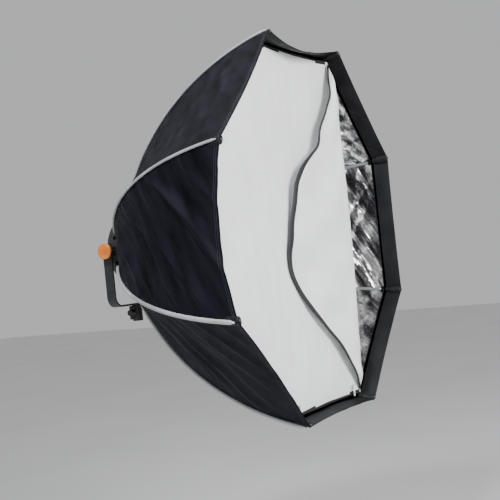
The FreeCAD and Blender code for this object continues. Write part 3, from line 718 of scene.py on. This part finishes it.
def sheet_height(x, z):
    """Faint upright wrinkles and a little slack in the white cloth; positive is forward."""
    size = np.hypot(x, z)
    calm = smooth(DIFFUSER_EDGE, DIFFUSER_EDGE - 0.10, size)
    fading = 0.4 + 0.6 * np.sin(2.1 * z + 3.3 * x) ** 2
    waves = 0.0004 * np.sin(74 * x + 2.2 * np.sin(5.1 * z + 0.6)) * fading
    waves = waves + 0.0003 * np.sin(131 * x - 9 * z + 1.3 * np.sin(7 * z))
    pulls = 0.0007 * np.sin(46 * x + 17 * z) * smooth(-0.1, -0.45, z)
    slack = 0.006 * smooth(0.45, 0.0, size)
    near_fold = 0.004 * smooth(FOLD_LINE - 0.06, FOLD_LINE, x)
    return calm * (waves + pulls) + slack + near_fold


def sheet_point(x, z):
    return np.stack([x, -DIFFUSER_FRONT - sheet_height(x, z), z], axis=-1)


SHEET_CELLS = 61
TAPE_WIDTH = 0.0085


def sector_piece(k):
    corners = sector_corners(k)
    p, q = np.meshgrid(np.linspace(0, 1, SHEET_CELLS), np.linspace(0, 1, SHEET_CELLS), indexing="ij")
    weights = ((1 - p) * (1 - q), p * (1 - q), p * q, (1 - p) * q)
    flat = sum(w[..., None] * c for w, c in zip(weights, corners))
    x, z = flat[..., 0], flat[..., 1]
    points = sheet_point(x, z)
    step = 5e-4
    slope_x = (sheet_height(x + step, z) - sheet_height(x - step, z)) / (2 * step)
    slope_z = (sheet_height(x, z + step) - sheet_height(x, z - step)) / (2 * step)
    normals = np.stack([-slope_x, -np.ones_like(x), -slope_z], axis=-1)
    normals /= np.linalg.norm(normals, axis=-1, keepdims=True)
    if faces_oppose(points[5:, 5:], normals[5:, 5:]):
        points, normals, x, z = (m.swapaxes(0, 1) for m in (points, normals, x, z))
    reach = np.max(np.stack([x * math.cos(STEP * i) + z * math.sin(STEP * i) for i in range(SIDES)]), axis=0)

    def index(i, j):
        taped = reach[i : i + 2, j : j + 2].mean() > DIFFUSER_EDGE - TAPE_WIDTH
        return 1 if taped else 0

    made = cloth_piece(f"diffuser_cloth_{k}", points, normals, SHEET_THICK, [WHITE, TAPE], index, index)
    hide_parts(f"diffuser_sector_{k}")
    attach(made, f"sector_{k}")
    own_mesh(made)


# The open flap: where its free edge hangs, from the top corner of the fold line to the bottom one,
# as distance from the middle, height, and how far it stands off the diffuser.
FREE_EDGE = (
    (0.196, 0.472, 0.006),
    (0.168, 0.425, 0.020),
    (0.137, 0.372, 0.034),
    (0.096, 0.320, 0.036),
    (0.050, 0.275, 0.037),
    (0.018, 0.223, 0.037),
    (-0.036, 0.190, 0.036),
    (-0.092, 0.157, 0.032),
    (-0.119, 0.120, 0.027),
    (-0.129, 0.076, 0.022),
    (-0.137, 0.036, 0.018),
    (-0.154, -0.028, 0.013),
    (-0.163, -0.070, 0.009),
    (-0.157, -0.115, 0.007),
    (-0.125, -0.160, 0.009),
    (-0.070, -0.218, 0.013),
    (-0.005, -0.268, 0.016),
    (0.055, -0.312, 0.017),
    (0.106, -0.362, 0.018),
    (0.152, -0.414, 0.018),
    (0.196, -0.472, 0.006),
)


SPLINE_STEPS = 24


def spline(points, count):
    """Catmull-Rom points through a list, evenly spaced along it."""
    points = np.asarray(points, float)
    padded = np.vstack([2 * points[0] - points[1], points, 2 * points[-1] - points[-2]])
    fine = []
    for i in range(len(points) - 1):
        a, b, c, d = padded[i : i + 4]
        square = 2 * a - 5 * b + 4 * c - d
        cube = 3 * b - 3 * c + d - a
        for s in np.linspace(0, 1, SPLINE_STEPS, endpoint=False):
            fine.append(0.5 * (2 * b + (c - a) * s + square * s**2 + cube * s**3))
    fine = np.array(fine + [points[-1]])
    reach = np.concatenate([[0], np.cumsum(np.linalg.norm(np.diff(fine, axis=0), axis=1))])
    places = np.linspace(0, reach[-1], count)
    return np.stack([np.interp(places, reach, fine[:, i]) for i in range(points.shape[1])], axis=-1)


FLAP_ROWS, FLAP_COLUMNS = 181, 61
FLAP_TAPE_RADIUS = 0.0026
FLAP_TAPE_COLUMNS = 3
FLAP_TOP = 0.474  # how far the fold line reaches above and below the middle


def flap_grid():
    """Rows run down the fold line; columns go from it round the soft crease to the free edge."""
    edge = spline(FREE_EDGE, FLAP_ROWS)
    share = np.linspace(0, 1, FLAP_ROWS)
    fold_z = np.interp(share, (0, 1), (FLAP_TOP, -FLAP_TOP))
    ends = np.clip(np.minimum(share, 1 - share) / 0.07, 0, 1)
    open_up = ends * ends * (3 - 2 * ends)
    bulge = 0.024 + 0.008 * np.sin(3.0 * share + 0.4) - 0.006 * share
    grid = np.zeros((FLAP_ROWS, FLAP_COLUMNS, 3))
    for i in range(FLAP_ROWS):
        high = bulge[i] * open_up[i] + 0.004
        start = np.array((FOLD_LINE - 0.004, fold_z[i], 0.001))
        out = np.array((FOLD_LINE + 0.002 * open_up[i], fold_z[i], 0.30 * high))
        top = np.array((FOLD_LINE - 0.002 * open_up[i], fold_z[i] - 0.002, 0.75 * high))
        over = np.array((FOLD_LINE - 0.022 * open_up[i], fold_z[i] * 0.995 - 0.004 * open_up[i], 1.05 * high))
        end = edge[i]
        near = over + (end - over) * 0.3 + np.array((0, 0, 0.003 * open_up[i]))
        far = over + (end - over) * 0.68
        grid[i] = spline([start, out, top, over, near, far, end], FLAP_COLUMNS)
    x, z, high = grid[..., 0].copy(), grid[..., 1].copy(), grid[..., 2].copy()
    across = np.linspace(0, 1, FLAP_COLUMNS)[None, :]
    calm = (smooth(0.12, 0.4, across) * open_up[:, None]) * (1 - 0.5 * smooth(0.9, 1.0, across))
    high += calm * (
        0.0045 * np.sin(15 * z + 6 * x + 0.5)
        + 0.0030 * np.sin(31 * z - 17 * x + 1.1)
        + 0.0015 * np.sin(64 * z + 21 * x)
    )
    pucker = smooth(0.34, 0.46, z) * smooth(0.05, 0.3, across)
    high += 0.004 * pucker * np.sin(150 * (x - 0.4 * z))
    high = np.maximum(high, 0.0035)
    return np.stack([x, -DIFFUSER_FRONT - 0.002 - high, z], axis=-1)


def flap_pieces():
    grid = flap_grid()
    normals = grid_normals(grid)
    if faces_oppose(grid[90:, 30:], normals[90:, 30:]):
        normals = -normals

    def index(i, j):
        return 1 if j >= FLAP_COLUMNS - 1 - FLAP_TAPE_COLUMNS else 0

    flap = cloth_piece("flap_cloth", grid, normals, SHEET_THICK, [WHITE, TAPE], index, index)
    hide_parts("diffuser_flap")
    teeth = join_blocks("flap_zip_teeth", teeth_along(grid[3:-3, -1], FORWARD), TEETH)
    edge = tube_piece("flap_zip_tape", grid[2:-2, -1], FLAP_TAPE_RADIUS, TAPE, side=(0.0, -1.0, 0.0))
    for piece in (flap, teeth, edge):
        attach(piece, "flap")
        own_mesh(piece)


def open_zip_teeth(k):
    """Teeth on the lip's half of the zip along the three edges that are undone."""
    a = rod_turn(k)
    b = rod_turn(k + 1)
    radius = DIFFUSER_RADIUS - 0.006
    behind = -DIFFUSER_FRONT + 0.0010
    start = np.array((radius * math.cos(a), behind, radius * math.sin(a)))
    end = np.array((radius * math.cos(b), behind, radius * math.sin(b)))
    middle = (start + end) / 2
    for rod, ends in ((k, (start, middle)), (k + 1, (middle, end))):
        points = np.linspace(*ends, 30)
        made = join_blocks(f"lip_zip_teeth_{k}_{rod}", teeth_along(points, FORWARD), TEETH)
        ride_fold(made, rod)


def collar_piece():
    """The elastic collar that draws the shell in round the speedring."""
    count, rows = 129, 14
    turns = np.linspace(0, 2 * math.pi, count)
    profile = spline(
        [
            (RING_OUTER + 0.0015, -0.0225),
            (RING_OUTER + 0.0045, -0.0215),
            (0.1065, -0.0255),
            (0.1095, -0.0305),
        ],
        rows,
    )
    ruffle = 0.0006 * np.sin(64 * turns)
    grid = np.zeros((rows, count, 3))
    for i, (r, y) in enumerate(profile):
        reach = r + ruffle
        grid[i] = np.stack([reach * np.cos(turns), np.full(count, y), reach * np.sin(turns)], axis=-1)
    normals = grid_normals(grid)
    if faces_oppose(grid, normals):
        normals = -normals
    made = cloth_piece("hub_collar", grid, normals, 0.0012, [LIP], lambda i, j: 0, lambda i, j: 0)
    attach(made, "ring")


# ---------------------------------------------------------------- build it all

NODE_MATERIALS = {
    "rod_knuckle": MOULDED,
    "rod_": ROD,
    "latch_button": RED,
    "bayonet_insert": ALLOY,
    "speedring": POWDER,
    "hinge_pins": ZINC,
    "cover_screws": ZINC,
    "plate_screws": ZINC,
    "tilt_trunnions": POWDER,
    "tilt_washers": ZINC,
    "tilt_knob_cap": ORANGE,
    "tilt_knob": GRIP,
    "yoke": POWDER,
    "stand_socket": POWDER,
    "stand_clamp": MOULDED,
    "zip_slider": NICKEL,
    "zip_pull": PULL,
}


def finish_nodes():
    """Gives each node of the frame the material of the first prefix that its name starts with."""
    for name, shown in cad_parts.items():
        material = next((m for prefix, m in NODE_MATERIALS.items() if name.startswith(prefix)), None)
        if material is None:
            continue
        if not shown.material_slots:
            shown.data.materials.append(material)
        for slot in shown.material_slots:
            slot.material = material


FLOOR_LEVEL = -1.15
FLOOR_HALF = 14
LENS = 70.7
SENSOR = 36
CAMERA_PLACE = (-2.374, -1.769, -0.082)
CAMERA_TURNS = (-60.094, -0.869, -5.905)  # azimuth, elevation and roll in degrees


def light(name, place, target, size, power, colour=(1, 1, 1)):
    lamp = bpy.data.lights.new(name, "AREA")
    lamp.shape = "SQUARE"
    lamp.size = size
    lamp.energy = power
    lamp.color = colour
    made = bpy.data.objects.new(name, lamp)
    made.location = place
    made.rotation_euler = (Vector(target) - Vector(place)).to_track_quat("-Z", "Y").to_euler()
    bpy.context.scene.collection.objects.link(made)


def studio():
    mesh = bpy.data.meshes.new("floor")
    signs = ((-1, -1), (1, -1), (1, 1), (-1, 1))
    mesh.from_pydata([(a * FLOOR_HALF, b * FLOOR_HALF, FLOOR_LEVEL) for a, b in signs], [], [(0, 1, 2, 3)])
    floor = bpy.data.objects.new("floor", mesh)
    made, tree, shader = new_material("pale_floor", (0.72, 0.72, 0.71), 0.85)
    where = position(tree)
    mottle = noise(tree, where, 1.5, 3)
    vary(tree, shader.inputs["Base Color"], mottle, (0.70, 0.70, 0.69), (0.74, 0.74, 0.73))
    add_bump(tree, shader, (noise(tree, where, 60, 3), 0.001, 0.2))
    mesh.materials.append(made)
    bpy.context.scene.collection.objects.link(floor)
    world = bpy.data.worlds.new("studio")
    world.use_nodes = True
    background = world.node_tree.nodes["Background"]
    background.inputs["Color"].default_value = (0.84, 0.845, 0.86, 1)
    background.inputs["Strength"].default_value = 0.62
    bpy.context.scene.world = world
    light("key", (-1.3, -3.5, 1.1), (0, -0.5, 0), 1.2, 165)
    light("fill", (-2.2, -0.9, 2.2), (0, -0.3, 0), 0.5, 105, (0.90, 0.94, 1.0))
    light("top", (0.2, 0.6, 2.6), (0, -0.3, 0), 1.5, 12)


def camera():
    lens = bpy.data.cameras.new("camera")
    lens.lens = LENS
    lens.sensor_width = SENSOR
    made = bpy.data.objects.new("camera", lens)
    azimuth, elevation, roll = (math.radians(d) for d in CAMERA_TURNS)
    level_share = math.cos(elevation)
    back = Vector((math.sin(azimuth) * level_share, -math.cos(azimuth) * level_share, math.sin(elevation)))
    level = Vector((0, 0, 1)).cross(back).normalized()
    upright = back.cross(level)
    right = level * math.cos(roll) + upright * math.sin(roll)
    up = -level * math.sin(roll) + upright * math.cos(roll)
    rows = [[right[i], up[i], back[i], place] for i, place in enumerate(CAMERA_PLACE)]
    made.matrix_world = Matrix(rows + [[0, 0, 0, 1]])
    bpy.context.scene.collection.objects.link(made)
    bpy.context.scene.camera = made


camera()
studio()
finish_nodes()
for rod in range(1, SIDES + 1):
    for name, (start, end, keep) in STRETCHES.items():
        ride_fold(shell_piece(rod, name, start, end), rod)
    for maker in (piping_piece, sleeve_piece, tip_pocket_piece, hem_piece, lip_band_piece):
        ride_fold(maker(rod), rod)
    sector_piece(rod)
flap_pieces()
for rod in (1, 2, 3):
    open_zip_teeth(rod)
collar_piece()
